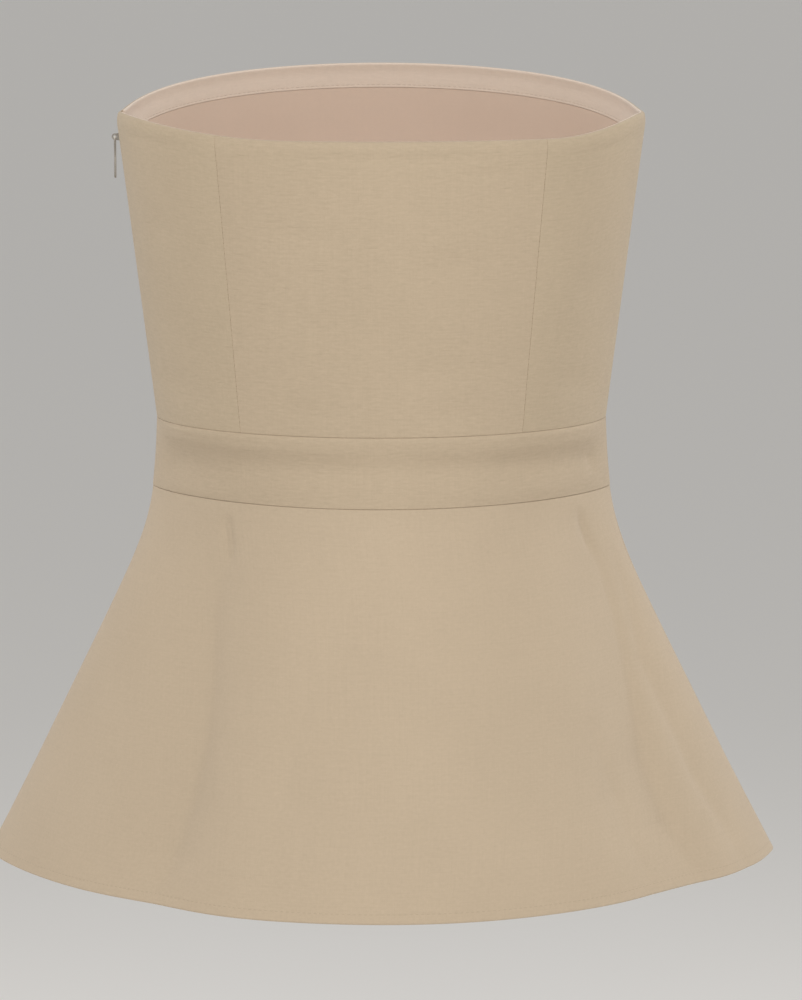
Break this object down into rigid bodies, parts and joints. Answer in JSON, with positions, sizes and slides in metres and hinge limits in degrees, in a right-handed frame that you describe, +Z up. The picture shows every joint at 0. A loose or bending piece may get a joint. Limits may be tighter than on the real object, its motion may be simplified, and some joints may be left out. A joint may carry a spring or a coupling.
{
  "type": "strapless linen top",
  "caption": "Strapless top of plain linen: a fitted bodice with princess seams, a straight waistband, a flared peplum and a concealed side zip with a hanging pull tab.",
  "frame": {"origin": "middle of the top edge, 5 mm below its side seams, where the wearer's chest holds the top", "axes": "+Z up; the back of the top faces -Y and the front +Y; +X is the wearer's right, and the zip is in the side seam at -X"},
  "size_m": [0.4448, 0.3563, 0.4386],
  "materials": {
    "linen": "plain weave linen, matt, with fine slubs",
    "facing": "plain weave linen, matt, edge-stitched",
    "lining": "smooth woven lining, faint sheen",
    "zip_tape": "fine woven tape",
    "zip_metal": "dull nickel, lightly brushed"
  },
  "bodies": {
    "top": {"bodice_back_centre": "linen", "bodice_back_side_left": "linen", "bodice_back_side_right": "linen", "bodice_front_centre": "linen", "bodice_front_side_left": "linen", "bodice_front_side_right": "linen", "waistband_back": "linen", "waistband_front": "linen", "peplum_back": "linen", "peplum_front": "linen", "facing_back": "facing", "facing_front": "facing", "lining_back": "lining", "lining_front": "lining", "zip_tape_back": "zip_tape", "zip_tape_front": "zip_tape", "zip_slider": "zip_metal"},
    "pull": {"zip_pull": "zip_metal"}
  },
  "joints": [
    {"name": "zip_pull_swing", "type": "hinge", "parent": "top", "child": "pull", "pos_m": [-0.1472, 0, -0.0087], "axis": [0, 1, 0], "range_deg": [-5, 150]}
  ]
}
